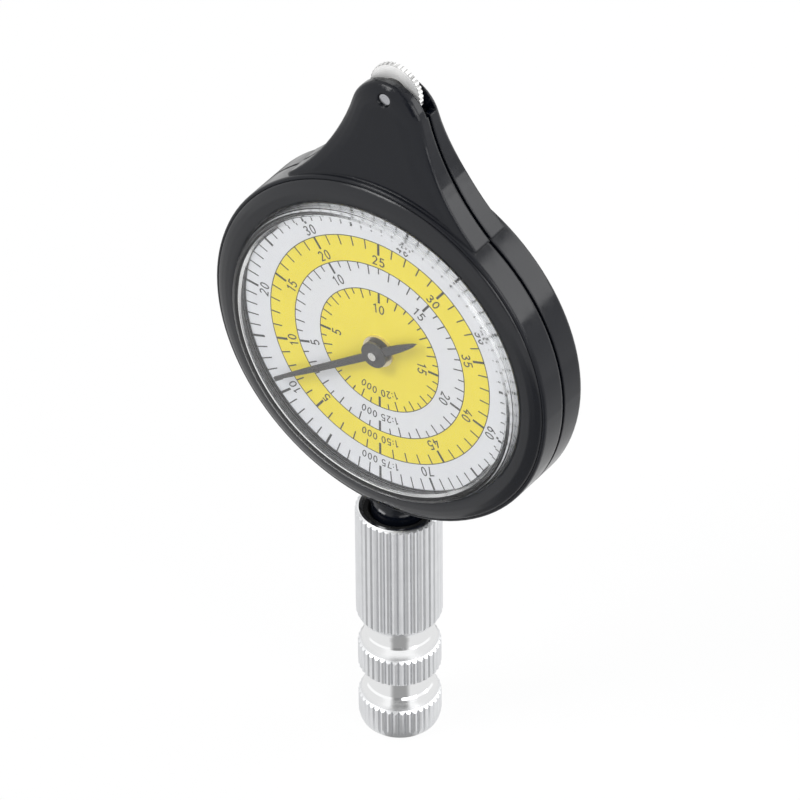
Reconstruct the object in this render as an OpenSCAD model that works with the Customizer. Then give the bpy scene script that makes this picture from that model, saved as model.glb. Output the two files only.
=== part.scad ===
// Opisometer: a two-sided map measurer with a knurled handle.
// A serrated wheel in the nose rolls along the map. A three-stage gear train turns
// the spindle once for every metre of path, and the spindle carries a pointer on each dial.
// Axes: x right, y from front to rear, z up from the bottom of the handle.
// In the half-case modules x and y lie in the dial's plane and z runs outward.

/* [Case] */
// radius of the round body
body_radius = 25.6; // [20:0.1:32]
// height of the body's rim above the parting plane
body_half = 4.1; // [3.6:0.05:6]
// thickness of the round side wall
body_wall = 1.6; // [1:0.1:3]
// inner depth of each half, from parting plane to floor
floor_depth = 2.3; // [2.1:0.05:3.5]
// thickness of the floor under the dial
floor_thickness = 1; // [0.6:0.1:2]
// width of the black groove between the halves
parting_gap = 0.5; // [0.2:0.05:1]
// depth of that groove
parting_depth = 0.8; // [0.3:0.05:1.2]

/* [Nose] */
// radius of the nose's round tip
tip_radius = 5.44; // [4.5:0.02:7]
// distance from dial centre to the tip's centre
tip_reach = 35.08; // [30:0.02:42]
// radius of the hollow flanks
flank_radius = 31.3; // [20:0.1:60]
// angle at which tip and flank meet
flank_start = 15.2; // [5:0.1:30]
// angle that each flank sweeps
flank_sweep = 32.7; // [25:0.1:40]
// half thickness of the nose at the wheel's axle
nose_half = 2.65; // [2.2:0.05:4]
// taper of the nose plates towards the tip, mm per mm
nose_taper = 0.055; // [0:0.005:0.06]
// width of the rounded shoulder round the nose's face
shoulder_width = 3.1; // [2:0.1:4]
// wall round the nose's hollow
nose_wall = 0.9; // [0.7:0.05:1.6]
// half width of the hollow behind the wheel slot
nose_hollow = 1.5; // [1.4:0.05:2]
// depth of the open wheel slot in the front half
slot_front = 0.55; // [0.4:0.05:1.2]
// depth of the open wheel slot in the rear half
slot_rear = 1.5; // [1.3:0.05:2]
// distance of the slot's lower end below the axle
slot_drop = 1.75; // [0:0.05:2.5]
// clearance round the wheel's rim inside the nose
wheel_clearance = 0.25; // [0.15:0.05:0.5]

/* [Wheel] */
// radius over the wheel's teeth: forty-two turns make one metre
wheel_radius = 3.79; // [3:0.02:6]
// number of serrations
wheel_teeth = 36; // [24:1:48]
// depth of a serration
wheel_tooth_depth = 0.15; // [0.1:0.05:0.5]
// thickness of the wheel
wheel_width = 0.7; // [0.5:0.05:1]
// distance of the wheel's middle behind the parting plane
wheel_offset = 0.35; // [-0.4:0.05:0.4]
// radius of the smooth hub in front of the wheel
wheel_hub_radius = 1.8; // [1.4:0.05:2.5]
// distance of the wheel's axle beyond the centre of the nose's tip
axle_ahead = 3.48; // [2:0.02:5]
// radius of the wheel's axle
axle_radius = 0.8; // [0.5:0.05:1]
// depth of the axle's ends below the faces of the nose
axle_recess = 0.35; // [0.1:0.05:0.6]

/* [Gears] */
// teeth of each pinion
pinion_teeth = 10; // [9:1:14]
// teeth of the first gear
first_teeth = 24; // [20:1:30]
// teeth of the second gear
second_teeth = 35; // [24:1:36]
// teeth of the spindle gear
spindle_teeth = 50; // [40:1:60]
// tooth module of the first stage
first_module = 0.4; // [0.3:0.01:0.5]
// tooth module of the second stage
second_module = 0.45; // [0.3:0.01:0.6]
// width of the first gear
first_width = 0.45; // [0.3:0.05:0.6]
// width of the second gear
second_width = 0.65; // [0.4:0.05:0.8]
// play between meshing teeth
backlash = 0.12; // [0.05:0.01:0.2]
// radius of the gears' fixed pins
gear_pin_radius = 0.5; // [0.3:0.05:0.8]

/* [Dial and pointer] */
// radius of the printed dial
dial_radius = 20.9; // [16:0.1:26]
// thickness of the dial plate
dial_thickness = 0.35; // [0.2:0.05:0.6]
// length of the pointer from the spindle to its tip
pointer_length = 19.3; // [12:0.1:24]
// length of the pointer's leaf-shaped tail
tail_length = 8; // [3:0.1:12]
// radius of the pointer's hub
hub_radius = 1.85; // [1:0.05:3]
// angle of the front pointer, clockwise from straight down
pointer_angle = 55; // [0:1:360]
// radius of the spindle's ends
spindle_radius = 0.6; // [0.4:0.05:0.9]
// radius of the bush flange on the dial
bush_radius = 2.25; // [1.8:0.05:3]

/* [Crystal and bezel] */
// height of the crystal's face above the parting plane
crystal_height = 6.35; // [5.6:0.05:8]
// thickness of the crystal
crystal_wall = 0.8; // [0.5:0.05:1.2]
// width of the bezel ring
bezel_width = 3.15; // [2:0.05:4]
// height of the bezel's inner edge above the parting plane
bezel_height = 4.95; // [4.4:0.05:6]

/* [Handle] */
// length of the knurled tube
tube_length = 18.4; // [12:0.1:40]
// length of the lower end piece
end_length = 17.6; // [14:0.1:24]
// radius over the knurls of the tube
tube_radius = 5.7; // [5.2:0.05:8]
// radius over the knurls of the end piece
end_radius = 5.5; // [4.8:0.05:8]
// wall of the tube
tube_wall = 0.9; // [0.6:0.05:1.5]
// top of the lowest knurled band, above the handle's foot
foot_band_top = 4.6; // [3.5:0.1:5]
// height of the upper knurled band of the end piece
upper_band = 3.7; // [2.5:0.1:4.5]
// distance of that band's lower edge below the tube
upper_band_drop = 8; // [7:0.1:9]
// depth of the smooth necks between the bands
neck_depth = 1.1; // [0.6:0.05:1.6]
// height of the flare from a band to the neck above it
flare_height = 2.1; // [1:0.1:3]
// number of knurls round the handle
knurl_count = 38; // [24:1:48]
// depth of the knurls
knurl_depth = 0.32; // [0.1:0.02:0.6]
// radius of the case's neck
neck_radius = 3.65; // [2.8:0.05:4.5]
// stretch of neck that shows between handle and body
neck_show = 2.7; // [1:0.1:6]

/* [Hidden] */
fit = 0.01;
run = 0.05;
collar_run = 0.1;
crystal_gap = 0.05;
pressure_angle = 20;
pinion_top = 1;
wheel_top = 0.6;
root_play = 0.25;
axle_reach = tip_reach + axle_ahead;
third_module = (axle_reach - first_module * (pinion_teeth + first_teeth) / 2
    - second_module * (pinion_teeth + second_teeth) / 2) * 2 / (pinion_teeth + spindle_teeth);
first_reach = axle_reach - first_module * (pinion_teeth + first_teeth) / 2;
second_reach = first_reach - second_module * (pinion_teeth + second_teeth) / 2;
handle_length = tube_length + end_length;
dial_z = handle_length + neck_show + body_radius;
gap = parting_gap / 2;
floor_top = floor_depth + floor_thickness;
inner_radius = body_radius - body_wall;
crystal_radius = dial_radius + crystal_wall + crystal_gap;
flange_radius = crystal_radius + 1.2;
bezel_outer = body_radius - 0.5;
bezel_inner = bezel_outer - bezel_width;
spigot_radius = inner_radius - run;
tube_bore = tube_radius - tube_wall;
slot_floor = axle_reach - slot_drop;
side_play = 0.1;
wheel_front = wheel_offset - wheel_width / 2;
wheel_rear = wheel_offset + wheel_width / 2;
hub_front = slot_front - side_play;
wheel_core = axle_radius + 0.5;
pinion_side = min(slot_rear, nose_hollow) - side_play;
second_side = nose_hollow - 3 * side_play;
third_front = 0.25;
third_rear = 0.35;
pin_end = nose_hollow + 0.6;
pin_sleeve = gear_pin_radius + 0.7;
spindle_core = spindle_radius + 0.3;
bush_hole = 1.6;
seat_rim = body_half - 0.2;
seat_floor = floor_depth + floor_thickness / 2;
peg_radius = 0.6;
peg_places = [[20.1, 7.3], [13.8, -16.4]];
peg_scale = (inner_radius - 2.6) / 21.4;
lip_gap = 0.15;
collar_length = 8;
knurl_over = 0.1;
spigot_length = 5;
spigot_wall = 1.5;
collar_top = handle_length - 0.25;
lip_top = collar_top - 0.9;
lip_height = 1.2;
neck_top = handle_length + neck_show + (body_wall + parting_depth) / 2;
neck_waist = neck_radius - 1;
neck_foot = neck_radius - 0.25;
flank_x = (flank_radius + tip_radius) * cos(flank_start);
flank_y = tip_reach + (flank_radius + tip_radius) * sin(flank_start);
flank_steps = 12;
tip_steps = 10;
shoulder_steps = 5;
$fn = 72;

case_color = [0.11, 0.11, 0.12];
metal_color = [0.78, 0.79, 0.8];
brass_color = [0.8, 0.68, 0.38];
gear_color = [0.88, 0.87, 0.82];
pointer_color = [0.15, 0.15, 0.16];
dial_color = [0.94, 0.9, 0.55];
crystal_color = [0.8, 0.9, 0.95, 0.35];

// Places a form that is drawn on the dial's plane, outward being +z, on the front.
module front_side() {
    translate([0, 0, dial_z])
        rotate([90, 0, 0])
            children();
}

// The same on the rear, as the front's mirror image.
module rear_side() {
    mirror([0, 1, 0])
        front_side()
            children();
}

// Places a form on a shaft that lies reach above the dial's centre, from y = start.
module on_shaft(reach, start) {
    translate([0, start, dial_z + reach])
        rotate([-90, 0, 0])
            children();
}

// Outline of the nose from the right corner over the tip to the left corner:
// each entry is a point and its outward normal.
function flank_entry(b) = [flank_x + flank_radius * cos(b), flank_y + flank_radius * sin(b),
    -cos(b), -sin(b)];
function tip_entry(a) = [tip_radius * cos(a), tip_reach + tip_radius * sin(a), cos(a), sin(a)];
right_half = concat(
    [for (i = [0:flank_steps]) flank_entry(180 + flank_start + flank_sweep * (1 - i / flank_steps))],
    [for (i = [1:tip_steps - 1]) tip_entry(flank_start + (90 - flank_start) * i / tip_steps)]);
half_count = len(right_half);
nose_ring = concat(right_half, [tip_entry(90)],
    [for (i = [half_count - 1:-1:0]) [-right_half[i][0], right_half[i][1], -right_half[i][2],
        right_half[i][3]]]);
ring_count = len(nose_ring);

// Drop of the nose's shoulder: deep and round at the tip, shallow on the flanks.
function eased(t) = t <= 0 ? 0 : t >= 1 ? 1 : t * t * (3 - 2 * t);
function tipness(y) = eased((y - tip_reach + 9) / 10);
function shoulder_drop(y) = 0.5 + 0.6 * tipness(y);
function nose_face(y) = nose_half + (axle_reach - y) * nose_taper;
function layer_point(e, turn) = let (
        inset = shoulder_width * (1 - cos(turn)),
        y = e[1] - e[3] * inset)
    [e[0] - e[2] * inset, y, nose_face(y) - shoulder_drop(e[1]) * (1 - sin(turn))];
nose_points = concat(
    [for (e = nose_ring) [e[0], e[1], gap]],
    [for (k = [0:shoulder_steps]) each [for (e = nose_ring) layer_point(e, 90 * k / shoulder_steps)]]);
// Both caps are strips across the nose, so that they also hold where the flanks are hollow.
function cap(first, flip) = [for (i = [0:half_count - 1])
    let (a = first + i, b = a + 1, c = first + ring_count - 2 - i, d = c + 1)
    each (b == c ? [flip ? [a, d, b] : [a, b, d]]
        : flip ? [[a, d, b], [b, d, c]] : [[a, b, d], [b, c, d]])];
nose_faces = concat(cap(0, false), cap((shoulder_steps + 1) * ring_count, true),
    [for (k = [0:shoulder_steps]) each [for (i = [0:ring_count - 1])
        each let (a = k * ring_count + i, b = k * ring_count + (i + 1) % ring_count,
            c = a + ring_count, d = b + ring_count) [[a, c, b], [b, c, d]]]]);

module nose_outline(inset) {
    polygon([for (e = nose_ring) [e[0] - e[2] * inset, e[1] - e[3] * inset]]);
}

// Round body of one half: side wall with its groove, floor, and seat for bezel and crystal.
module body_form() {
    rotate_extrude($fn = 120)
        polygon([[bush_hole, floor_depth], [inner_radius, floor_depth], [inner_radius, 0],
            [body_radius - parting_depth, 0], [body_radius - parting_depth, gap],
            [body_radius, gap], [body_radius, body_half - 0.35],
            [body_radius - 0.1, body_half - 0.1], [body_radius - 0.35, body_half],
            [bezel_outer + run, body_half], [bezel_outer + run, seat_rim],
            [inner_radius, seat_rim], [inner_radius, floor_top], [bush_hole, floor_top]]);
}

// The nose, cut away where the bezel, crystal and dial are seated.
module nose_form() {
    difference() {
        polyhedron(nose_points, nose_faces);
        translate([0, 0, seat_floor])
            cylinder(r = inner_radius + body_wall / 2, h = 2 * body_half, $fn = 120);
    }
}

// One case half, with its wheel slot of the given depth, without its pin bosses and pegs.
module case_half(slot) {
    difference() {
        union() {
            difference() {
                union() {
                    body_form();
                    nose_form();
                    linear_extrude(height = gap + 0.1)
                        nose_outline(parting_depth);
                }
                hollow(slot);
            }
            for (place = peg_places, side = [-1, 1])
                translate([side * place[0] * peg_scale, place[1] * peg_scale, 0])
                    cylinder(r = peg_radius + 0.7, h = floor_depth + 0.2);
            neck_half();
        }
        translate([0, axle_reach, 0]) {
            cylinder(r = axle_radius + fit, h = 2 * nose_half);
            translate([0, 0, nose_half - axle_recess - run])
                cylinder(r = axle_radius + 0.15, h = nose_half);
        }
    }
}

// Inside of a half: round chamber, hollow nose and the slot where the wheel comes out.
module hollow(slot) {
    translate([0, 0, -1])
        cylinder(r = inner_radius, h = floor_depth + 1, $fn = 120);
    translate([0, 0, -1])
        linear_extrude(height = nose_hollow + 1)
            intersection() {
                nose_outline(nose_wall);
                translate([-body_radius, 0])
                    square([2 * body_radius, slot_floor]);
            }
    translate([-body_radius, slot_floor, -1])
        cube([2 * body_radius, body_radius, slot + 1]);
    translate([0, axle_reach, -1])
        cylinder(r = wheel_radius + wheel_clearance, h = slot + 1);
}

// Half of the neck that the handle turns on, with the groove for the collar's lip.
module neck_half() {
    difference() {
        translate([0, -dial_z, 0])
            rotate([-90, 0, 0])
                rotate_extrude()
                    polygon([[0, collar_top - collar_length], [neck_foot, collar_top - collar_length],
                        [neck_foot, lip_top - lip_height - lip_gap],
                        [neck_waist, lip_top - lip_height - lip_gap],
                        [neck_waist, lip_top + lip_gap], [neck_radius, lip_top + lip_gap],
                        [neck_radius, neck_top],
                        [0, neck_top]]);
        translate([-body_radius, -2 * dial_z, -body_radius])
            cube([2 * body_radius, 2 * dial_z, body_radius]);
        translate([0, 0, seat_rim])
            cylinder(r = bezel_outer + run, h = body_half);
    }
}

// Boss on the floor that holds the end of a gear pin.
module pin_boss(reach, top) {
    translate([0, reach, top])
        cylinder(r = pin_sleeve, h = floor_depth + 0.2 - top);
}

module pin_holes() {
    for (reach = [first_reach, second_reach])
        translate([0, reach, 0])
            cylinder(r = gear_pin_radius + fit, h = pin_end + 0.05);
}

module front_case() {
    color(case_color) front_side() {
        difference() {
            union() {
                case_half(slot_front);
                pin_boss(first_reach, second_side + 2 * side_play);
                pin_boss(second_reach, second_side + 1.5 * side_play);
            }
            pin_holes();
        }
        for (place = peg_places, side = [-1, 1])
            translate([side * place[0] * peg_scale, place[1] * peg_scale, -1.5])
                cylinder(r = peg_radius, h = 2);
    }
}

module rear_case() {
    color(case_color) rear_side() difference() {
        union() {
            case_half(slot_rear);
            pin_boss(first_reach, pinion_side + side_play);
            pin_boss(second_reach, third_rear + 2 * side_play);
        }
        pin_holes();
        for (place = peg_places, side = [-1, 1])
            translate([side * place[0] * peg_scale, place[1] * peg_scale, -1])
                cylinder(r = peg_radius + run, h = 2.6);
    }
}

// Raised ring round the crystal, domed towards its outer edge.
module bezel_form() {
    rotate_extrude($fn = 120)
        polygon([[flange_radius + run, floor_top], [spigot_radius, floor_top],
            [spigot_radius, seat_rim], [bezel_outer, seat_rim],
            [bezel_outer, body_half + 0.05], [bezel_outer - 0.15, body_half + 0.2],
            [bezel_outer - 0.7, body_half + 0.45], [bezel_outer - 1.5, bezel_height - 0.15],
            [bezel_outer - 2.3, bezel_height - 0.02], [bezel_inner + 0.5, bezel_height],
            [bezel_inner + 0.15, bezel_height - 0.1], [bezel_inner, bezel_height - 0.3],
            [bezel_inner, body_half], [flange_radius + run, body_half]]);
}

// Clear dish over the dial, held by its flange under the bezel.
module crystal_form() {
    rotate_extrude($fn = 120)
        polygon([[0, crystal_height - 0.6], [dial_radius - 0.7, crystal_height - 0.6],
            [dial_radius - 0.15, crystal_height - 0.8], [dial_radius + crystal_gap, crystal_height - 1.3],
            [dial_radius + crystal_gap, floor_top], [flange_radius, floor_top],
            [flange_radius, body_half - run], [crystal_radius, body_half - run],
            [crystal_radius, crystal_height - 0.8], [crystal_radius - 0.2, crystal_height - 0.3],
            [crystal_radius - 0.7, crystal_height - 0.04], [crystal_radius - 1.2, crystal_height],
            [0, crystal_height]]);
}

module dial_form() {
    translate([0, 0, floor_top])
        difference() {
            cylinder(r = dial_radius, h = dial_thickness, $fn = 120);
            translate([0, 0, -1])
                cylinder(r = bush_hole + run, h = 2);
        }
}

module bush_form() {
    difference() {
        union() {
            translate([0, 0, floor_depth])
                cylinder(r = bush_hole - fit, h = floor_thickness + dial_thickness + 0.1);
            translate([0, 0, floor_top + dial_thickness])
                cylinder(r = bush_radius, h = 0.4);
        }
        cylinder(r = spindle_radius + run, h = 2 * body_half);
    }
}

// Pointer with a slender arm, round hub and leaf-shaped tail, drawn with its tip at -y.
module pointer_form() {
    low = floor_top + dial_thickness + 0.5;
    blade = low + 0.45;
    rotate([0, 0, -pointer_angle])
        difference() {
            union() {
                translate([0, 0, blade])
                    linear_extrude(height = 0.3)
                        pointer_outline();
                translate([0, 0, blade])
                    cylinder(r = hub_radius, h = 0.4);
                translate([0, 0, low])
                    cylinder(r = hub_radius * 0.55, h = 0.6);
            }
            translate([0, 0, low - 1])
                cylinder(r = spindle_radius + fit, h = 4);
        }
}

// Half width of the tail at a share of its length: fullest near the hub, round at its end.
function leaf(t) = 0.56 * sqrt(1 - t) * (0.82 + 0.18 * sin(180 * t)) + 0.12 * sqrt(max(0, 1 - t * t));
function tail_place(t) = hub_radius * 0.8 + (tail_length - hub_radius * 0.8) * t;
module pointer_outline() {
    polygon(concat([[-0.2, -pointer_length], [0.2, -pointer_length],
            [0.42, -pointer_length * 0.6], [0.55, 0]],
        [for (t = [0:0.1:0.9]) [leaf(t), tail_place(t)]],
        [[0, tail_place(1)]],
        [for (t = [0.9:-0.1:0]) [-leaf(t), tail_place(t)]],
        [[-0.55, 0], [-0.42, -pointer_length * 0.6]]));
}

module front_bezel() { color(case_color) front_side() bezel_form(); }
module rear_bezel() { color(case_color) rear_side() bezel_form(); }
module front_crystal() { color(crystal_color) front_side() crystal_form(); }
module rear_crystal() { color(crystal_color) rear_side() crystal_form(); }
module front_dial() { color(dial_color) front_side() dial_form(); }
module rear_dial() { color(dial_color) rear_side() dial_form(); }
module front_bush() { color(brass_color) front_side() bush_form(); }
module rear_bush() { color(brass_color) rear_side() bush_form(); }
module front_pointer() { color(pointer_color) front_side() pointer_form(); }
module rear_pointer() { color(pointer_color) rear_side() pointer_form(); }

// Involute gear outline. The top or bottom tooth is set by turn, in degrees.
function inv(a) = tan(a) * 180 / PI - a;
function half_angle(r, base, pitch, thick) = thick + inv(pressure_angle)
    - inv(acos(min(1, base / max(r, base))));
module gear_outline(teeth, size, top, bottom, turn) {
    pitch = size * teeth / 2;
    base = pitch * cos(pressure_angle);
    root = pitch - bottom * size;
    tip = pitch + top * size;
    start = max(root, base);
    thick = 90 / teeth - backlash / 4 / pitch * 180 / PI;
    side = [for (k = [0:3]) let (r = start + (tip - start) * k / 3) [r, half_angle(r, base, pitch, thick)]];
    foot = root < base ? [[root, half_angle(base, base, pitch, thick)]] : [];
    rise = concat(foot, side);
    profile = concat([for (p = rise) [p[0], -p[1]]],
        [for (k = [len(rise) - 1:-1:0]) [rise[k][0], rise[k][1]]]);
    polygon([for (i = [0:teeth - 1], p = profile) let (a = turn + i * 360 / teeth + p[1])
        [p[0] * cos(a), p[0] * sin(a)]]);
}

// A pinion has a tooth that points down, a gear has a tooth space that points up.
module pinion(size, length) {
    linear_extrude(height = length)
        gear_outline(pinion_teeth, size, pinion_top, wheel_top + root_play, 90);
}

module gear(teeth, size, width) {
    linear_extrude(height = width)
        gear_outline(teeth, size, wheel_top, pinion_top + root_play, -90 + 180 / teeth);
}

module bore(radius) {
    translate([0, 0, -body_half])
        cylinder(r = radius, h = 4 * body_half);
}

// Thin serrated wheel, pressed on the core of its moulded pinion.
module measuring_wheel() {
    dip = wheel_radius - wheel_tooth_depth;
    step = 360 / wheel_teeth;
    color(metal_color) on_shaft(axle_reach, wheel_front) difference() {
        linear_extrude(height = wheel_width)
            polygon([for (i = [0:wheel_teeth - 1],
                p = [[dip, 0], [wheel_radius, 0.36], [wheel_radius, 0.64]])
                let (a = (i + p[1]) * step) [p[0] * cos(a), p[0] * sin(a)]]);
        bore(wheel_core + fit);
    }
}

// Pinion behind the wheel, with the core that carries the wheel and a smooth hub in front.
module wheel_pinion() {
    color(case_color) on_shaft(axle_reach, -hub_front) difference() {
        union() {
            cylinder(r = wheel_hub_radius, h = hub_front + wheel_front);
            cylinder(r = wheel_core, h = hub_front + pinion_side);
            translate([0, 0, hub_front + wheel_rear])
                pinion(first_module, pinion_side - wheel_rear);
        }
        bore(axle_radius + run);
    }
}

module wheel_axle() {
    color(metal_color) on_shaft(axle_reach, axle_recess - nose_half)
        cylinder(r = axle_radius, h = 2 * (nose_half - axle_recess));
}

module gear_axle(reach) {
    color(metal_color) on_shaft(reach, -pin_end)
        cylinder(r = gear_pin_radius, h = 2 * pin_end);
}

module first_gear_axle() { gear_axle(first_reach); }
module second_gear_axle() { gear_axle(second_reach); }

// First compound gear: its gear meshes with the wheel's pinion behind the wheel, a sleeve
// passes the wheel's rim, and its pinion lies in front.
module first_gear() {
    front = second_side + side_play;
    color(gear_color) on_shaft(first_reach, -front) difference() {
        union() {
            pinion(second_module, front + wheel_front - side_play);
            cylinder(r = pin_sleeve, h = front + pinion_side);
            translate([0, 0, front + pinion_side - first_width])
                gear(first_teeth, first_module, first_width);
        }
        bore(gear_pin_radius + run);
    }
}

// Second compound gear: its gear runs at the front, its pinion in the middle.
module second_gear() {
    color(gear_color) on_shaft(second_reach, -second_side) difference() {
        union() {
            gear(second_teeth, second_module, second_width);
            pinion(third_module, second_side + third_rear);
        }
        bore(gear_pin_radius + run);
    }
}

module spindle() {
    tip = crystal_height - 1;
    color(metal_color) on_shaft(0, -tip) {
        cylinder(r = spindle_radius, h = 2 * tip);
        translate([0, 0, tip - floor_depth + 0.1])
            cylinder(r = spindle_core, h = 2 * floor_depth - 0.2);
    }
}

module spindle_gear() {
    color(gear_color) on_shaft(0, -third_front) difference() {
        union() {
            gear(spindle_teeth, third_module, third_front + third_rear);
            translate([0, 0, -0.5])
                cylinder(r = spindle_core + 1.1, h = third_front + third_rear + 1);
        }
        bore(spindle_core + fit);
    }
}

// Straight rounded knurls round a bar, cut off to scallops where the turned outline is narrower.
module knurled(radius, low, high, outline) {
    step = 360 / knurl_count;
    intersection() {
        translate([0, 0, low])
            linear_extrude(height = high - low)
                polygon([for (i = [0:knurl_count - 1],
                    p = [[0, 1], [0.22, 0.3], [0.5, 0], [0.78, 0.3]])
                    let (a = (i + p[0]) * step, r = radius - knurl_depth * p[1])
                    [r * cos(a), r * sin(a)]]);
        rotate_extrude()
            polygon(outline);
    }
}

// Lower end piece: two knurled bands, each with a flare to the neck above it, and a spigot.
module handle_end() {
    r = end_radius;
    full = r + knurl_over;
    neck = r - neck_depth;
    upper = end_length - upper_band_drop;
    upper_top = upper + upper_band;
    color(metal_color) difference() {
        union() {
            knurled(r, 0, end_length, [[0, 0], [r - 1, 0], [r - 0.66, 0.1], [r - 0.38, 0.4],
                [r - 0.18, 0.85], [r - 0.05, 1.4], [full, 1.9], [full, foot_band_top - 0.15],
                [r - 0.35, foot_band_top + 0.4],
                [neck + 0.2, foot_band_top + flare_height * 0.86],
                [neck, foot_band_top + flare_height], [neck, upper - 0.6], [full, upper + 0.2],
                [full, upper_top - 0.15], [r - 0.35, upper_top + 0.4],
                [neck + 0.25, upper_top + flare_height * 0.86],
                [neck + 0.1, upper_top + flare_height], [neck + 0.1, end_length - 0.5],
                [r - 0.5, end_length], [0, end_length]]);
            translate([0, 0, end_length - 1])
                cylinder(r = tube_bore - fit, h = spigot_length + 1);
        }
        translate([0, 0, end_length - 1])
            cylinder(r = tube_bore - spigot_wall, h = spigot_length + 2);
    }
}

module handle_tube() {
    r = tube_radius;
    full = r + knurl_over;
    color(metal_color) difference() {
        knurled(r, end_length, handle_length, [[0, end_length], [r - 0.6, end_length],
            [r - 0.5, end_length + 0.4], [full, end_length + 1.4], [full, handle_length - 0.35],
            [r - 0.42, handle_length - 0.05], [r - 0.5, handle_length], [0, handle_length]]);
        cylinder(r = tube_bore, h = 2 * handle_length);
    }
}

// Collar in the tube's mouth, whose lip rides in the neck's groove.
module handle_collar() {
    color(case_color) rotate_extrude()
        polygon([[neck_foot + collar_run, collar_top - collar_length - 0.3],
            [tube_bore - fit, collar_top - collar_length - 0.3], [tube_bore - fit, collar_top],
            [neck_radius + collar_run + 0.3, collar_top],
            [neck_radius + collar_run, collar_top - 0.3],
            [neck_radius + collar_run, lip_top], [neck_waist + collar_run, lip_top],
            [neck_waist + collar_run, lip_top - lip_height],
            [neck_foot + collar_run, lip_top - lip_height]]);
}

front_case();
rear_case();
front_bezel();
rear_bezel();
front_crystal();
rear_crystal();
front_dial();
rear_dial();
front_bush();
rear_bush();
wheel_axle();
first_gear_axle();
second_gear_axle();
measuring_wheel();
wheel_pinion();
first_gear();
second_gear();
spindle();
spindle_gear();
front_pointer();
rear_pointer();
handle_tube();
handle_end();
handle_collar();
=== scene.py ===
import math

import bpy
from mathutils import Matrix, Vector


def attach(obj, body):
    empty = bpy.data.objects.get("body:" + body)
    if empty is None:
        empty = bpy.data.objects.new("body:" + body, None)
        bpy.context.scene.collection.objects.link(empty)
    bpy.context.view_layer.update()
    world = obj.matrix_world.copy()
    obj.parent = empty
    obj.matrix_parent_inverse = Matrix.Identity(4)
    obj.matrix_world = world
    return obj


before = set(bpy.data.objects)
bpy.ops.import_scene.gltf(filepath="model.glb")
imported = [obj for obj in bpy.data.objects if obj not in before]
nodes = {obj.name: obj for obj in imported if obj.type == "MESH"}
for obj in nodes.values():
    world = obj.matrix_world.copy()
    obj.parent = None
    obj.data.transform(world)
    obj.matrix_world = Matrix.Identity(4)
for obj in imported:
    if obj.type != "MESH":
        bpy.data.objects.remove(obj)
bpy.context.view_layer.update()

MM = 0.001

# Places in the part frame, in millimetres. The front dial faces -Y and the rear dial is its twin
# turned half round about the upright axis. A window gives the distances from an axis at which
# something starts, is full, fades and ends.
DIAL_Z = 64.3
DIAL_FACE = 3.65  # distance of a printed face from the middle plane
DIAL_EDGE = 20.9
CRYSTAL_WALL = (DIAL_EDGE - 0.35, DIAL_EDGE)  # where the wall's streaks start and are full
WHEEL_Z = 102.86
SERRATION_PAINTED_SHADE = (3.63, 3.68, 3.69, 3.79)  # window of painted shade in the serrations
TUBE_FOOT = 17.6
TUBE_OVER_END = 0.2  # how much larger the tube's radius is than the end piece's
KNURL_FOOT = (4.9, 5.25)  # distances at which the polish ends and the knurls start
KNURL_PAINTED_SHADE = (5.08, 5.16, 5.2, 5.3)  # window of painted shade between the end piece's knurls

# Photograph's view of the part.
VIEW_AZIMUTH = math.radians(35.44)
VIEW_ELEVATION = math.radians(38.94)
VIEW_ROLL = math.radians(-0.45)
VIEW_TARGET = Vector((2.958, -3.655, 57.34)) * MM
VIEW_DISTANCE = 956.5 * MM
LENS = 338.1
SENSOR = 36.0
CLIP = (0.01, 100.0)

# The studio as gloss shows it, white but for dark gaps in front and behind and painted shadow on
# the floor close by: the gaps' heading, their edges as cosines and their brightness, then the
# distances in metres at which the floor starts to brighten and is white, and its brightness close
# by, outside the gaps and in them.
STUDIO_GAP = Vector((math.sin(VIEW_AZIMUTH), -math.cos(VIEW_AZIMUTH), 0.0))
GAP_EDGES = (0.85, 0.97)
GAP_BRIGHTNESS = 0.25
NEAR_FLOOR = (0.1, 0.22)
NEAR_FLOOR_SHINE = (0.8, 0.33)

WHITE = (1.0, 1.0, 1.0, 1.0)
ROOM_TINT = (0.97, 0.98, 1.0, 1.0)
ROOM_STRENGTH = 0.6
FLOOR_HALF = 6.0  # half a side of the floor, in metres
FLOOR_PAPER = (0.93, 0.93, 0.93, 1.0)
FLOOR_WHITE = 0.92  # share of plain white in the floor as seen. The rest shows the shadow

# Each lamp: its name, place and aim in metres, the sides of its rectangle and its power in watts.
LAMPS = (
    ("key_lamp", (-0.75, -0.95, 1.15), (0.0, 0.0, 0.06), (0.7, 0.7), 11.0),
    ("fill_lamp", (1.1, -0.7, 0.8), (0.0, 0.0, 0.06), (0.8, 0.8), 5.0),
    ("back_lamp", (0.85, 0.9, 0.6), (0.0, 0.0, 0.07), (1.1, 0.7), 6.5),
    ("strip_lamp", (1.28, -0.22, 0.6), (0.0, 0.0, 0.08), (0.35, 1.0), 3.5),
)

# Noise scales, in patches to a metre.
HANDLING_CLOUD, HANDLING_HAZE, MOULD_GRAIN = 90.0, 400.0, 3000.0
TURNED_LINES, TARNISH, SHADE_PATCHES = 9000.0, 260.0, 900.0
CRYSTAL_STREAKS, CRYSTAL_HAZE = 4200.0, 300.0
PRINT_MOTTLE, INK_MOTTLE = 1500.0, 6000.0
ACETAL_CLOUD, ACETAL_GRAIN = 500.0, 2600.0
PAINT_CLOUD, PAINT_PEEL = 700.0, 3500.0

# Values of a noise between which its effect goes from none to full.
NOISE_SPAN = (0.3, 0.7)
TARNISH_SPAN = (0.35, 0.75)
SHADE_PATCH_SPAN = (0.4, 0.6)
STREAK_SPAN = (0.35, 0.65)
HAZE_SPAN = (0.45, 0.75)

# Turned lines run round a piece, so their noise is drawn out by these shares of a coordinate.
LINES_IN_DEPTH = 0.1
LINES_ROUND_HANDLE = 0.02

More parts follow.
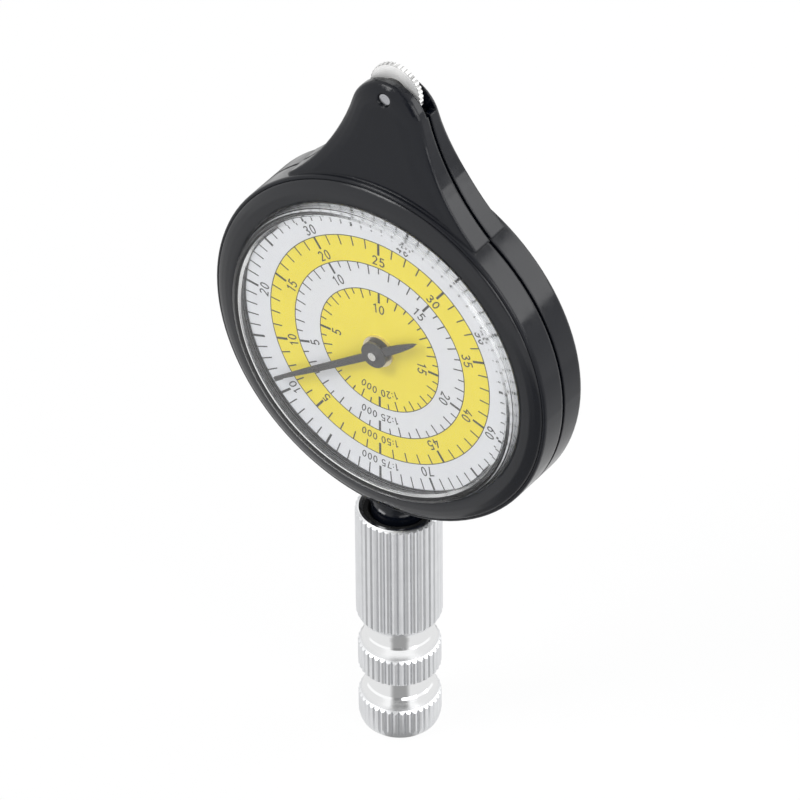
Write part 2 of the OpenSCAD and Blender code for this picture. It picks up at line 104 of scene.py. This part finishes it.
# Shades of patches, as shares of the piece's own colour.
CLOUD_SHADE = 1.5
TARNISH_SHADE = 0.9
# The next two are painted shade, in the wheel's serrations and in the grooves between the knurls.
SERRATION_SHADE_TONE = 0.3
KNURL_SHADE_TONE = 0.88
ACETAL_SHADE = 0.9
PAINT_SHADE = 1.35
LEAST_SERRATION_SHADE = 0.35  # share of the wheel's painted shade that is left between its patches

# The crystal: its colour to view and to the lamps, and the roughness of its wall and its face.
CRYSTAL_COLOUR = (0.985, 0.99, 0.99, 1.0)
CRYSTAL_SHADOW = (0.97, 0.975, 0.975, 1.0)
CRYSTAL_IOR = 1.49
STREAK_ROUGHNESS = (0.08, 0.34)
FACE_ROUGHNESS = (0.0, 0.02)

# Pairs of colours and of roughnesses between which the print is mottled.
DIAL_YELLOW = ((0.75, 0.615, 0.025, 1.0), (0.78, 0.65, 0.04, 1.0))
DIAL_WHITE = ((0.645, 0.65, 0.68, 1.0), (0.675, 0.68, 0.71, 1.0))
DIAL_ROUGHNESS = (0.36, 0.5)
INK = ((0.022, 0.022, 0.024, 1.0), (0.05, 0.05, 0.052, 1.0))
INK_ROUGHNESS = (0.45, 0.6)

# Bumps, each as its strength and its height in metres, and the rounding of the mouldings' edges,
# as light shows it, in metres.
TURNED_BUMP = (0.25, 0.000006)
PRINT_BUMP = (0.04, 0.00001)
ACETAL_BUMP = (0.15, 0.00002)
PAINT_BUMP = (0.2, 0.00002)
GRAIN_HEIGHT = 0.00002
EDGE_RADIUS = 0.0004

# Sockets of a Mix node that mixes colours.
MIX_INPUTS, MIX_COLOUR = (0, 6, 7), 2

# Border circles of the printed rings, and the sizes of the printed strokes, in millimetres.
RING_RADII = (17.0, 13.14, 9.19)
CIRCLE_WIDTH = 0.11
CIRCLE_STEPS = 180
FINE_TICK = 0.17
BOLD_TICK = 0.33
INK_HEIGHT = 0.02
DIGIT_HEIGHT, DIGIT_GAP = 1.42, 0.22  # the gap is between a bold mark and its number
LABEL_HEIGHT, LABEL_GAP = 1.14, 0.2

# A character's measures, as shares of its height.
STROKE = 0.125
GLYPH_WIDTH = 0.56
ADVANCE = {":": 0.36, " ": 0.40, "1": 0.60}
FULL_ADVANCE = 0.76
MITRE_LIMIT = 0.5  # least cosine by which a stroke widens at a corner


# ---------------------------------------------------------------- camera, light and background
def make_camera():
    back = Vector((math.sin(VIEW_AZIMUTH) * math.cos(VIEW_ELEVATION),
                   -math.cos(VIEW_AZIMUTH) * math.cos(VIEW_ELEVATION),
                   math.sin(VIEW_ELEVATION)))
    level = Vector((math.cos(VIEW_AZIMUTH), math.sin(VIEW_AZIMUTH), 0.0))
    upright = back.cross(level)
    right = level * math.cos(VIEW_ROLL) + upright * math.sin(VIEW_ROLL)
    up = upright * math.cos(VIEW_ROLL) - level * math.sin(VIEW_ROLL)
    data = bpy.data.cameras.new("camera")
    data.lens = LENS
    data.sensor_width = SENSOR
    data.clip_start, data.clip_end = CLIP
    camera = bpy.data.objects.new("camera", data)
    bpy.context.scene.collection.objects.link(camera)
    turn = Matrix((right, up, back)).transposed().to_4x4()
    camera.matrix_world = Matrix.Translation(VIEW_TARGET + back * VIEW_DISTANCE) @ turn
    bpy.context.scene.camera = camera


def add_lamp(name, place, aim, sides, power):
    data = bpy.data.lights.new(name, "AREA")
    data.shape = "RECTANGLE"
    data.size, data.size_y = sides
    data.energy = power
    lamp = bpy.data.objects.new(name, data)
    bpy.context.scene.collection.objects.link(lamp)
    place, aim = Vector(place), Vector(aim)
    lamp.matrix_world = (Matrix.Translation(place)
                         @ (aim - place).to_track_quat("-Z", "Y").to_matrix().to_4x4())


def new_tree(owner):
    owner.use_nodes = True
    tree = owner.node_tree
    tree.nodes.clear()
    return tree


def node(tree, kind, inputs=None, **settings):
    """A new node, whose inputs are each linked to a socket or set to a plain value."""
    made = tree.nodes.new(kind)
    for key, value in settings.items():
        setattr(made, key, value)
    for key, value in (inputs or {}).items():
        if isinstance(value, bpy.types.NodeSocket):
            tree.links.new(value, made.inputs[key])
        else:
            made.inputs[key].default_value = value
    return made


def math_node(tree, operation, *values):
    return node(tree, "ShaderNodeMath", dict(enumerate(values)), operation=operation).outputs[0]


def vector_node(tree, operation, output, *values):
    made = node(tree, "ShaderNodeVectorMath", dict(enumerate(values)), operation=operation)
    return made.outputs[output]


def spread(tree, value, low, high, start=0.0, end=1.0, smooth=False):
    """value carried from the range start to end to the range low to high, and held within it."""
    made = node(tree, "ShaderNodeMapRange", {"Value": value, "From Min": start, "From Max": end,
                                             "To Min": low, "To Max": high},
                interpolation_type="SMOOTHSTEP" if smooth else "LINEAR")
    return made.outputs["Result"]


def mixed(tree, share, first, second):
    """Shader between those of two nodes."""
    return node(tree, "ShaderNodeMixShader", {0: share, 1: first.outputs[0],
                                              2: second.outputs[0]})


def studio_gap(tree, direction, full, gap):
    """Brightness that gloss shows: full all round but for gaps in front and behind."""
    level = vector_node(tree, "MULTIPLY", "Vector", direction, (1.0, 1.0, 0.0))
    heading = vector_node(tree, "NORMALIZE", "Vector", level)
    ahead = vector_node(tree, "DOT_PRODUCT", "Value", heading, tuple(STUDIO_GAP))
    return spread(tree, math_node(tree, "ABSOLUTE", ahead), full, gap, *GAP_EDGES, smooth=True)


def ray_kinds(tree):
    """Whether a ray shows the background itself, straight or through the crystal, and gloss."""
    path = node(tree, "ShaderNodeLightPath").outputs
    seen = math_node(tree, "MAXIMUM", path["Is Camera Ray"], path["Is Transmission Ray"])
    return seen, path["Is Glossy Ray"]


def make_world():
    world = bpy.data.worlds.new("studio")
    bpy.context.scene.world = world
    tree = new_tree(world)
    seen, glossy = ray_kinds(tree)
    direction = node(tree, "ShaderNodeTexCoord").outputs["Generated"]
    room = studio_gap(tree, direction, 1.0, GAP_BRIGHTNESS)
    soft = node(tree, "ShaderNodeBackground", {"Color": ROOM_TINT, "Strength": ROOM_STRENGTH})
    shine = node(tree, "ShaderNodeBackground", {"Color": WHITE, "Strength": room})
    white = node(tree, "ShaderNodeBackground", {"Color": WHITE, "Strength": 1.0})
    shown = mixed(tree, seen, mixed(tree, glossy, soft, shine), white)
    node(tree, "ShaderNodeOutputWorld", {"Surface": shown.outputs[0]})


def make_floor():
    mesh = bpy.data.meshes.new("floor")
    half = FLOOR_HALF
    mesh.from_pydata([(-half, -half, 0), (half, -half, 0), (half, half, 0), (-half, half, 0)],
                     [], [(0, 1, 2, 3)])
    floor = bpy.data.objects.new("floor", mesh)
    bpy.context.scene.collection.objects.link(floor)
    material = bpy.data.materials.new("floor_paper")
    tree = new_tree(material)
    seen, glossy = ray_kinds(tree)
    paper = node(tree, "ShaderNodeBsdfDiffuse", {"Color": FLOOR_PAPER})
    white = node(tree, "ShaderNodeEmission", {"Color": WHITE, "Strength": 1.0})
    place = node(tree, "ShaderNodeNewGeometry").outputs["Position"]
    away = vector_node(tree, "LENGTH", "Value", place)
    # Painted shadow: as gloss sees it, the floor close to the part is darker, and darker still in
    # the gaps.
    room = math_node(tree, "MAXIMUM", studio_gap(tree, place, *NEAR_FLOOR_SHINE),
                     spread(tree, away, 0.0, 1.0, *NEAR_FLOOR, smooth=True))
    shine = node(tree, "ShaderNodeEmission", {"Color": WHITE, "Strength": room})
    share = math_node(tree, "MAXIMUM", math_node(tree, "MULTIPLY", seen, FLOOR_WHITE), glossy)
    shown = mixed(tree, share, paper, mixed(tree, glossy, white, shine))
    node(tree, "ShaderNodeOutputMaterial", {"Surface": shown.outputs[0]})
    mesh.materials.append(material)


# ---------------------------------------------------------------- materials
def principled(name):
    material = bpy.data.materials.new(name)
    tree = new_tree(material)
    shader = node(tree, "ShaderNodeBsdfPrincipled")
    output = node(tree, "ShaderNodeOutputMaterial", {"Surface": shader.outputs[0]})
    return material, tree, shader, output


def wire(tree, shader, colour, roughness, normal=None):
    tree.links.new(colour, shader.inputs["Base Color"])
    tree.links.new(roughness, shader.inputs["Roughness"])
    if normal:
        tree.links.new(normal, shader.inputs["Normal"])


def place_in_part(tree):
    return node(tree, "ShaderNodeTexCoord").outputs["Object"]


def coordinates(tree, where):
    return node(tree, "ShaderNodeSeparateXYZ", {"Vector": where}).outputs


def joined(tree, **parts):
    """A vector of the parts named X, Y and Z. One that isn't named is zero."""
    return node(tree, "ShaderNodeCombineXYZ", parts).outputs[0]


def axis_distance(tree, where, centre=None):
    """Distance from the upright axis, or from the axis across the dial at a height in metres."""
    part = coordinates(tree, where)
    if centre is None:
        flat = joined(tree, X=part["X"], Y=part["Y"])
    else:
        flat = joined(tree, X=part["X"], Z=math_node(tree, "SUBTRACT", part["Z"], centre))
    return vector_node(tree, "LENGTH", "Value", flat)


def window(tree, value, start, full, fade, end):
    """Rises from 0 at start to 1 at full and falls from fade to 0 at end, all in millimetres."""
    return math_node(tree, "MULTIPLY", spread(tree, value, 0.0, 1.0, start * MM, full * MM),
                     spread(tree, value, 1.0, 0.0, fade * MM, end * MM))


def rgba(colour, share=1.0):
    return tuple(c * share for c in colour) + (1.0,)


def blended(tree, share, first, second):
    """Colour between two others."""
    made = node(tree, "ShaderNodeMix", dict(zip(MIX_INPUTS, (share, first, second))),
                data_type="RGBA")
    return made.outputs[MIX_COLOUR]


def noise(tree, where, scale, detail):
    made = node(tree, "ShaderNodeTexNoise", {"Vector": where, "Scale": scale, "Detail": detail})
    return made.outputs["Fac"]


def uneven(tree, value, middle, less, more):
    """A measure that a noise carries from less below its middle to more above it."""
    return spread(tree, value, middle - less, middle + more, *NOISE_SPAN)


def bump(tree, height, strength, distance, normal=None):
    inputs = {"Height": height, "Strength": strength, "Distance": distance}
    if normal:
        inputs["Normal"] = normal
    return node(tree, "ShaderNodeBump", inputs).outputs[0]


def black_plastic(name, colour, roughness, grain, ior):
    """Moulded black plastic: a fine grain in the surface and faint handling haze."""
    material, tree, shader, _ = principled(name)
    where = place_in_part(tree)
    cloud = noise(tree, where, HANDLING_CLOUD, 4.0)
    haze = noise(tree, where, HANDLING_HAZE, 5.0)
    softened = node(tree, "ShaderNodeBevel", {"Radius": EDGE_RADIUS}, samples=6).outputs["Normal"]
    wire(tree, shader, blended(tree, cloud, rgba(colour), rgba(colour, CLOUD_SHADE)),
         uneven(tree, haze, roughness, 0.05, 0.07),
         bump(tree, noise(tree, where, MOULD_GRAIN, 2.0), grain, GRAIN_HEIGHT, softened))
    shader.inputs["IOR"].default_value = ior
    return material


def turned_surface(tree, where, lines_at, colour, roughness):
    """Colour, roughness and normal of metal with fine turned lines and a faint tarnish."""
    lines = noise(tree, lines_at, TURNED_LINES, 2.0)
    tarnish = noise(tree, where, TARNISH, 4.0)
    shade = blended(tree, spread(tree, tarnish, 0.0, 1.0, *TARNISH_SPAN),
                    rgba(colour), rgba(colour, TARNISH_SHADE))
    rough = math_node(tree, "ADD", uneven(tree, lines, roughness, 0.05, 0.06),
                      uneven(tree, tarnish, 0.0, 0.03, 0.05))
    return shade, rough, bump(tree, lines, *TURNED_BUMP)


def turned_metal(name, colour, roughness, centre, metallic=1.0, painted_shade=None):
    """Metal turned about an axis across the dial, with painted shade over a window of distances
    from it when one is given.
    """
    material, tree, shader, _ = principled(name)
    where = place_in_part(tree)
    reach = axis_distance(tree, where, centre)
    depth = math_node(tree, "MULTIPLY", coordinates(tree, where)["Y"], LINES_IN_DEPTH)
    lines_at = joined(tree, X=reach, Y=depth)
    shade, rough, normal = turned_surface(tree, where, lines_at, colour, roughness)
    # Painted shade in the hollows of the serrations, broken into patches.
    if painted_shade:
        patches = spread(tree, noise(tree, where, SHADE_PATCHES, 2.0), LEAST_SERRATION_SHADE, 1.0, *SHADE_PATCH_SPAN)
        painted_shading = math_node(tree, "MULTIPLY", window(tree, reach, *painted_shade), patches)
        shade = blended(tree, painted_shading, shade, rgba(colour, SERRATION_SHADE_TONE))
    wire(tree, shader, shade, rough, normal)
    shader.inputs["Metallic"].default_value = metallic
    return material


def knurled_aluminium(name, colour, roughness, polish, smooth):
    """Turned handle: polished flares and necks, duller knurls, with painted shade between them."""
    material, tree, shader, _ = principled(name)
    where = place_in_part(tree)
    part = coordinates(tree, where)
    across = {axis: math_node(tree, "MULTIPLY", part[axis], LINES_ROUND_HANDLE) for axis in "XY"}
    lines_at = joined(tree, Z=part["Z"], **across)
    shade, rough, normal = turned_surface(tree, where, lines_at, colour, roughness)
    on_tube = math_node(tree, "GREATER_THAN", part["Z"], TUBE_FOOT * MM)
    reach = math_node(tree, "SUBTRACT", axis_distance(tree, where),
                      math_node(tree, "MULTIPLY", on_tube, TUBE_OVER_END * MM))
    # Painted shade in the grooves between the knurls.
    painted_shading = window(tree, reach, *KNURL_PAINTED_SHADE)
    shade = blended(tree, painted_shading, shade, rgba(colour, KNURL_SHADE_TONE))
    knurl = spread(tree, reach, 0.0, 1.0, *(edge * MM for edge in KNURL_FOOT))
    shade = blended(tree, knurl, rgba(polish), shade)
    rough = math_node(tree, "MULTIPLY", rough, spread(tree, knurl, smooth / roughness, 1.0))
    wire(tree, shader, shade, rough, normal)
    shader.inputs["Metallic"].default_value = 1.0
    return material


def clear_acrylic(name):
    """Clear plastic with a streaky turned wall. Lamps reach the dial through it."""
    material, tree, shader, output = principled(name)
    where = place_in_part(tree)
    shader.inputs["Base Color"].default_value = CRYSTAL_COLOUR
    shader.inputs["Transmission Weight"].default_value = 1.0
    shader.inputs["IOR"].default_value = CRYSTAL_IOR
    depth = joined(tree, Y=coordinates(tree, where)["Y"])
    reach = axis_distance(tree, where, DIAL_Z * MM)
    streaks = spread(tree, noise(tree, depth, CRYSTAL_STREAKS, 2.0), *STREAK_ROUGHNESS,
                     *STREAK_SPAN)
    wall = spread(tree, reach, 0.0, 1.0, *(edge * MM for edge in CRYSTAL_WALL))
    face = spread(tree, noise(tree, where, CRYSTAL_HAZE, 3.0), *FACE_ROUGHNESS, *HAZE_SPAN)
    tree.links.new(math_node(tree, "ADD", face, math_node(tree, "MULTIPLY", wall, streaks)),
                   shader.inputs["Roughness"])
    shadow = node(tree, "ShaderNodeLightPath").outputs["Is Shadow Ray"]
    clear = node(tree, "ShaderNodeBsdfTransparent", {"Color": CRYSTAL_SHADOW})
    tree.links.new(mixed(tree, shadow, shader, clear).outputs[0], output.inputs["Surface"])
    return material


def printed_dial(name):
    """White sheet with two printed yellow zones, faintly mottled as screen print is."""
    material, tree, shader, _ = principled(name)
    where = place_in_part(tree)
    reach = axis_distance(tree, where, DIAL_Z * MM)
    outer, middle, inner = (math_node(tree, "LESS_THAN", reach, r * MM) for r in RING_RADII)
    yellow_here = math_node(tree, "MAXIMUM", math_node(tree, "SUBTRACT", outer, middle), inner)
    mottle = noise(tree, where, PRINT_MOTTLE, 4.0)
    white, yellow = (blended(tree, mottle, *pair) for pair in (DIAL_WHITE, DIAL_YELLOW))
    wire(tree, shader, blended(tree, yellow_here, white, yellow),
         spread(tree, mottle, *DIAL_ROUGHNESS, *NOISE_SPAN), bump(tree, mottle, *PRINT_BUMP))
    return material


def dial_ink(name):
    material, tree, shader, _ = principled(name)
    mottle = noise(tree, place_in_part(tree), INK_MOTTLE, 3.0)
    wire(tree, shader, blended(tree, mottle, *INK),
         spread(tree, mottle, *INK_ROUGHNESS, *NOISE_SPAN))
    return material


def moulded(name, colour, roughness):
    """Acetal as gears are moulded from: waxy, faintly uneven, with light flow marks."""
    material, tree, shader, _ = principled(name)
    where = place_in_part(tree)
    cloud = noise(tree, where, ACETAL_CLOUD, 4.0)
    wire(tree, shader, blended(tree, cloud, rgba(colour, ACETAL_SHADE), rgba(colour)),
         uneven(tree, cloud, roughness, 0.06, 0.06),
         bump(tree, noise(tree, where, ACETAL_GRAIN, 2.0), *ACETAL_BUMP))
    return material


def painted(name, colour, roughness):
    """Thin matt paint over metal, with a faint orange peel."""
    material, tree, shader, _ = principled(name)
    where = place_in_part(tree)
    cloud = noise(tree, where, PAINT_CLOUD, 4.0)
    wire(tree, shader, blended(tree, cloud, rgba(colour), rgba(colour, PAINT_SHADE)),
         uneven(tree, cloud, roughness, 0.06, 0.08),
         bump(tree, noise(tree, where, PAINT_PEEL, 3.0), *PAINT_BUMP))
    return material


def dress(material, *names):
    for name in names:
        for slot in nodes[name].material_slots:
            slot.material = material


# ---------------------------------------------------------------- dial print
def arc(centre, radii, start, end, steps):
    """Points on an ellipse, with angles in degrees anticlockwise from the right."""
    points = []
    for index in range(steps + 1):
        angle = math.radians(start + (end - start) * index / steps)
        points.append((centre[0] + radii[0] * math.cos(angle),
                       centre[1] + radii[1] * math.sin(angle)))
    return points


def glyphs():
    """Stroke centre lines of the digits in a box of GLYPH_WIDTH by 1: (closed, points) each."""
    half, edge = STROKE / 2, 1 - STROKE / 2
    left, right, middle = half, GLYPH_WIDTH - half, GLYPH_WIDTH / 2
    oval = arc((middle, 0.5), (middle - half, 0.5 - half), 90, 450, 28)[:-1]
    two = (arc((middle, 0.70), (middle - half, 0.30 - half), 165, -35, 14)
           + [(left, half), (right, half)])
    three_top = arc((0.27, 0.745), (0.195, edge - 0.745), 160, -90, 14)
    three_low = arc((0.27, 0.27), (0.225, 0.27 - half), 90, -160, 16)
    five = ([(0.5, edge), (0.13, edge), (0.1, 0.53)]
            + arc((0.265, 0.325), (0.235, 0.325 - half), 125, -150, 18))
    ring_low = arc((middle, 0.31), (middle - half, 0.31 - half), 90, 450, 24)[:-1]
    tail = [(0.43, edge), (0.26, 0.74), (0.13, 0.52), (0.075, 0.36)]
    eight_top = arc((middle, 0.745), (0.185, edge - 0.745), 90, 450, 20)[:-1]
    eight_low = arc((middle, 0.275), (middle - half, 0.275 - half), 90, 450, 22)[:-1]

    def turned(points):
        return [(GLYPH_WIDTH - x, 1 - z) for x, z in points]

    return {
        "0": [(True, oval)],
        "1": [(False, [(0.1, 0.76), (0.32, edge - 0.03), (0.32, 0.0)])],
        "2": [(False, two)],
        "3": [(False, three_top + three_low[1:])],
        "4": [(False, [(0.36, edge), (left, 0.29), (right + half, 0.29)]),
              (False, [(0.41, 0.56), (0.41, 0.0)])],
        "5": [(False, five)],
        "6": [(True, ring_low), (False, tail)],
        "7": [(False, [(left - half, edge), (right, edge), (0.2, 0.0)])],
        "8": [(True, eight_top), (True, eight_low)],
        "9": [(True, turned(ring_low)), (False, turned(tail))],
        ":": [(False, [(0.28, 0.16), (0.28, 0.29)]), (False, [(0.28, 0.56), (0.28, 0.69)])],
    }


GLYPHS = glyphs()


def side_points(points, width, closed):
    """The two edges of a stroke of one width along the points, with mitred corners."""
    count = len(points)
    left, right = [], []
    for index in range(count):
        before = points[index - 1] if closed or index else None
        after = points[(index + 1) % count] if closed or index < count - 1 else None
        here = Vector(points[index])
        into = (here - Vector(before) if before else Vector(after) - here).normalized()
        out = (Vector(after) - here).normalized() if after else into
        across = Vector((-(into.y + out.y), into.x + out.x)).normalized()
        reach = width / 2 / max(MITRE_LIMIT, across.dot(Vector((-into.y, into.x))))
        left.append(here + across * reach)
        right.append(here - across * reach)
    return left, right


class Print:
    """Thin raised ink on one dial face, gathered into one mesh of closed strokes."""

    def __init__(self, name, side):
        self.name, self.side = name, side
        self.points, self.faces = [], []

    def place(self, point, height):
        """A point of the dial as its own reader sees it, X to the right and Z up, to the part."""
        x, z = point
        return (self.side * x * MM, -self.side * (DIAL_FACE + height) * MM, (DIAL_Z + z) * MM)

    def stroke(self, points, width, closed=False):
        left, right = side_points(points, width, closed)
        count, base = len(points), len(self.points)
        for edge, height in ((left, INK_HEIGHT), (right, INK_HEIGHT), (left, 0.0), (right, 0.0)):
            self.points.extend(self.place(point, height) for point in edge)
        top_l, top_r, low_l, low_r = (base + count * k for k in range(4))
        for i in range(count if closed else count - 1):
            j = (i + 1) % count
            self.faces.append((top_l + i, top_r + i, top_r + j, top_l + j))
            self.faces.append((low_l + i, low_l + j, low_r + j, low_r + i))
            self.faces.append((top_l + i, top_l + j, low_l + j, low_l + i))
            self.faces.append((top_r + i, low_r + i, low_r + j, top_r + j))
        if not closed:
            last = count - 1
            self.faces.append((top_l, low_l, low_r, top_r))
            self.faces.append((top_l + last, top_r + last, low_r + last, low_l + last))

    def circle(self, radius, width):
        self.stroke(arc((0, 0), (radius, radius), 0, 360, CIRCLE_STEPS)[:-1], width, closed=True)

    def tick(self, turn, outer, length, width):
        """A radial line at a share of a turn, clockwise from straight down."""
        angle = turn * math.tau
        out = Vector((-math.sin(angle), -math.cos(angle)))
        self.stroke([tuple(out * outer), tuple(out * (outer - length))], width)

    def write(self, text, turn, radius, height):
        """Text round a circle, tops outward and read clockwise, its middle at a share of a turn."""
        widths = [ADVANCE.get(c, FULL_ADVANCE) * height for c in text]
        along = -sum(widths) / 2
        middle = GLYPH_WIDTH / 2
        for char, width in zip(text, widths):
            angle = turn * math.tau + (along + width / 2) / radius
            out = Vector((-math.sin(angle), -math.cos(angle)))
            on = Vector((-math.cos(angle), math.sin(angle)))
            for closed, points in GLYPHS.get(char, ()):
                laid = [tuple(on * (x - middle) * height + out * (radius + (z - 0.5) * height))
                        for x, z in points]
                self.stroke(laid, STROKE * height, closed)
            along += width

    def finish(self, material):
        mesh = bpy.data.meshes.new(self.name)
        mesh.from_pydata(self.points, [], self.faces)
        mesh.materials.append(material)
        piece = bpy.data.objects.new(self.name, mesh)
        bpy.context.scene.collection.objects.link(piece)
        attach(piece, "case")


# Each scale: its outer radius, its ratio, marks in a turn, every how many marks a bold one and a
# number, what one mark counts, the lengths of the usual, bold and short marks.
FRONT_SCALES = (
    (DIAL_EDGE, "1:75 000", 75, 5, 10, 1.0, (1.72, 1.9, 1.72)),
    (RING_RADII[0], "1:50 000", 50, 5, 5, 1.0, (1.45, 1.8, 1.45)),
    (RING_RADII[1], "1:25 000", 50, 10, 10, 0.5, (1.45, 1.62, 0.92)),
    (RING_RADII[2], "1:20 000", 40, 10, 10, 0.5, (1.45, 1.62, 0.85)),
)
REAR_SCALES = (
    (DIAL_EDGE, "1:100 000", 100, 5, 10, 1.0, (1.72, 1.9, 1.72)),
    (RING_RADII[0], "1:40 000", 40, 5, 5, 1.0, (1.45, 1.8, 1.45)),
    (RING_RADII[1], "1:30 000", 60, 10, 10, 0.5, (1.45, 1.62, 0.92)),
    (RING_RADII[2], "1:15 000", 30, 10, 10, 0.5, (1.45, 1.62, 0.85)),
)


def print_dial(name, side, scales, material):
    marks = Print(name + "_marks", side)
    digits = Print(name + "_digits", side)
    for radius in RING_RADII:
        marks.circle(radius, CIRCLE_WIDTH)
    for outer, ratio, count, bold, number, value, (usual, long, short) in scales:
        for index in range(count):
            turn = index / count
            if index % bold == 0:
                marks.tick(turn, outer, long, BOLD_TICK)
            else:
                halfway = value < 1 and index % 2
                marks.tick(turn, outer, short if halfway else usual, FINE_TICK)
            if index and index % number == 0:
                digits.write(str(round(index * value)), turn,
                             outer - long - DIGIT_GAP - DIGIT_HEIGHT / 2, DIGIT_HEIGHT)
        digits.write(ratio, 0.0, outer - long - LABEL_GAP - LABEL_HEIGHT / 2, LABEL_HEIGHT)
    marks.finish(material)
    digits.finish(material)


# ---------------------------------------------------------------- the scene
bpy.context.scene.view_settings.view_transform = "Standard"
make_camera()
make_world()
make_floor()
for lamp in LAMPS:
    add_lamp(*lamp)

case_plastic = black_plastic("case_plastic", colour=(0.0022, 0.003, 0.0055), roughness=0.14,
                             grain=0.08, ior=1.38)
bezel_plastic = black_plastic("bezel_plastic", colour=(0.0026, 0.0033, 0.0055), roughness=0.12,
                              grain=0.06, ior=1.5)
collar_plastic = black_plastic("collar_plastic", colour=(0.012, 0.012, 0.012), roughness=0.25,
                               grain=0.12, ior=1.43)
aluminium = knurled_aluminium("handle_aluminium", colour=(0.9, 0.91, 0.925), roughness=0.38,
                              polish=(0.97, 0.975, 0.98), smooth=0.1)
nickel = turned_metal("wheel_nickel", colour=(0.97, 0.965, 0.95), roughness=0.3,
                      centre=WHEEL_Z * MM, metallic=0.35, painted_shade=SERRATION_PAINTED_SHADE)
steel = turned_metal("pin_steel", colour=(0.5, 0.505, 0.53), roughness=0.26, centre=WHEEL_Z * MM)
spindle_steel = turned_metal("spindle_steel", colour=(0.76, 0.75, 0.73), roughness=0.22,
                             centre=DIAL_Z * MM)
bush_metal = turned_metal("bush_metal", colour=(0.78, 0.70, 0.52), roughness=0.3,
                          centre=DIAL_Z * MM)
gear_acetal = moulded("gear_acetal", colour=(0.76, 0.74, 0.68), roughness=0.42)
pinion_acetal = moulded("pinion_acetal", colour=(0.02, 0.02, 0.02), roughness=0.4)
pointer_paint = painted("pointer_paint", colour=(0.03, 0.029, 0.03), roughness=0.45)
crystal = clear_acrylic("crystal_acrylic")
dial_sheet = printed_dial("dial_print")
ink = dial_ink("dial_ink")

dress(case_plastic, "front_case", "rear_case")
dress(bezel_plastic, "front_bezel", "rear_bezel")
dress(collar_plastic, "handle_collar")
dress(aluminium, "handle_tube", "handle_end")
dress(nickel, "measuring_wheel")
dress(steel, "wheel_axle", "first_gear_axle", "second_gear_axle")
dress(spindle_steel, "spindle")
dress(bush_metal, "front_bush", "rear_bush")
dress(pinion_acetal, "wheel_pinion")
dress(gear_acetal, "first_gear", "second_gear", "spindle_gear")
dress(pointer_paint, "front_pointer", "rear_pointer")
dress(crystal, "front_crystal", "rear_crystal")
dress(dial_sheet, "front_dial", "rear_dial")

print_dial("front_print", 1, FRONT_SCALES, ink)
print_dial("rear_print", -1, REAR_SCALES, ink)
